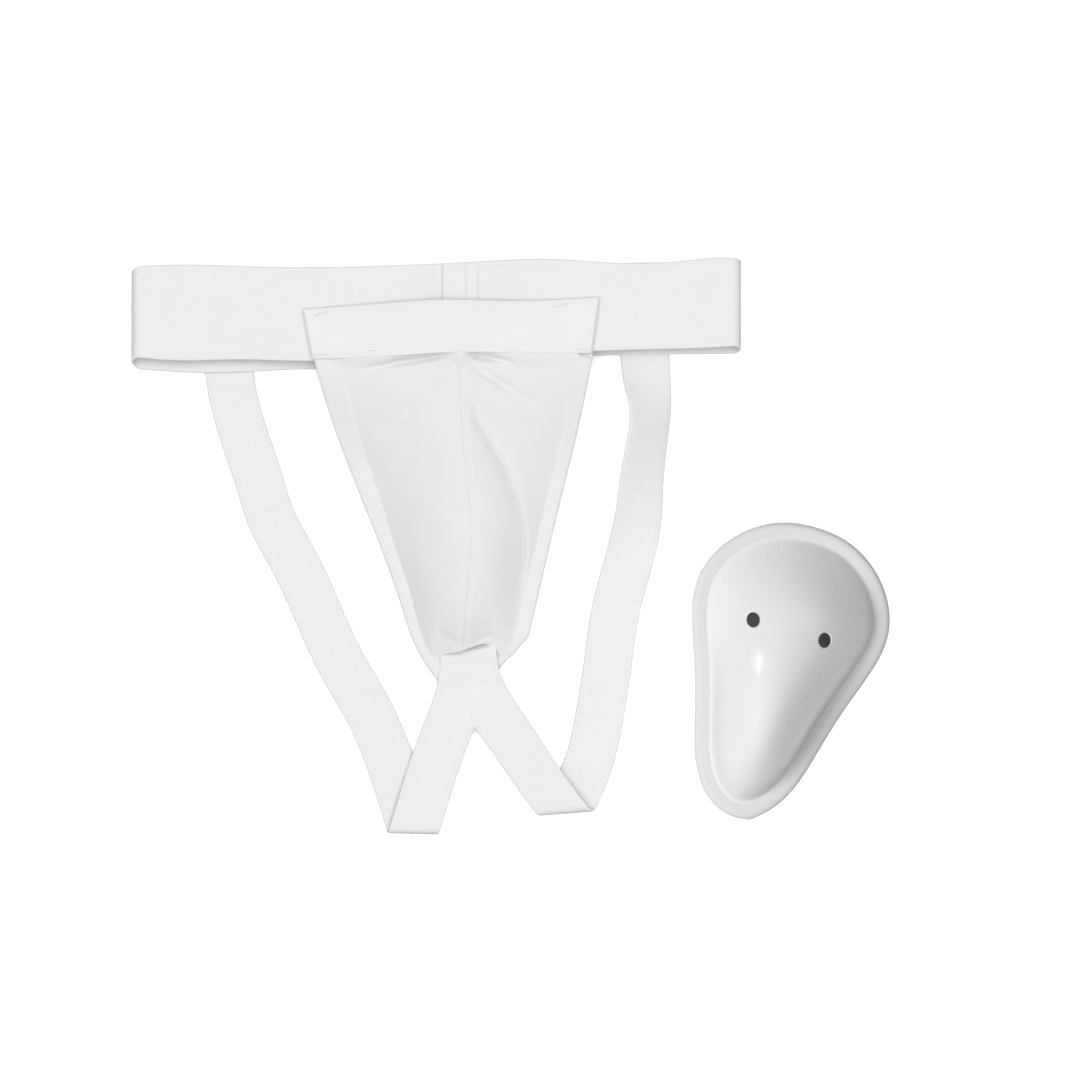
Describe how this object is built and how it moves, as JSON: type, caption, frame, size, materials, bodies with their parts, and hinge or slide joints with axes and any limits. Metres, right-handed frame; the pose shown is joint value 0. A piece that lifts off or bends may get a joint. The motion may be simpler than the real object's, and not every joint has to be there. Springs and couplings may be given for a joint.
{
  "type": "groin protector",
  "caption": "Elastic supporter with leg straps and a cup pocket, laid flat beside the hard vented cup that slides into its pouch.",
  "frame": {"origin": "middle of the footprint of the laid-out object, on the surface it rests on", "axes": "+X across the wearer towards the cup lying beside the supporter, +Y up towards the waistband, +Z out of the front, up from the resting surface"},
  "size_m": [0.4012, 0.3038, 0.0519],
  "materials": {
    "waistband_elastic": "woven white elastic, matt",
    "strap_elastic": "woven white elastic webbing, matt",
    "pouch_fabric": "fine white knitted cotton, matt",
    "binding_fabric": "white cotton binding, matt",
    "band_fabric": "folded white knitted cotton, matt",
    "sewing_thread": "white polyester thread",
    "cup_plastic": "satin white moulded plastic",
    "cup_edge": "soft white moulded edge"
  },
  "bodies": {
    "supporter": {"waistband_elastic": "waistband_elastic", "waistband_lap_stitching": "sewing_thread", "pouch_back_panel": "pouch_fabric", "side_binding_left": "binding_fabric", "side_binding_right": "binding_fabric", "binding_stitching_left": "sewing_thread", "binding_stitching_right": "sewing_thread", "pouch_front_panel_left": "pouch_fabric", "pouch_front_panel_right": "pouch_fabric", "centre_seam_stitching": "sewing_thread", "pouch_top_band": "band_fabric", "band_hem_stitching": "sewing_thread", "pouch_corner_tacks_left": "sewing_thread", "pouch_corner_tacks_right": "sewing_thread", "leg_strap_left": "strap_elastic", "leg_strap_right": "strap_elastic", "strap_end_tack_left": "sewing_thread", "strap_end_tack_right": "sewing_thread", "crotch_tack": "sewing_thread"},
    "cup": {"cup_shell": "cup_plastic", "cup_edge_cushion": "cup_edge"}
  },
  "joints": [
    {"name": "cup_lift", "type": "slide", "parent": "supporter", "child": "cup", "axis": [0, 0, 1], "range_m": [0, 0.12]}
  ]
}
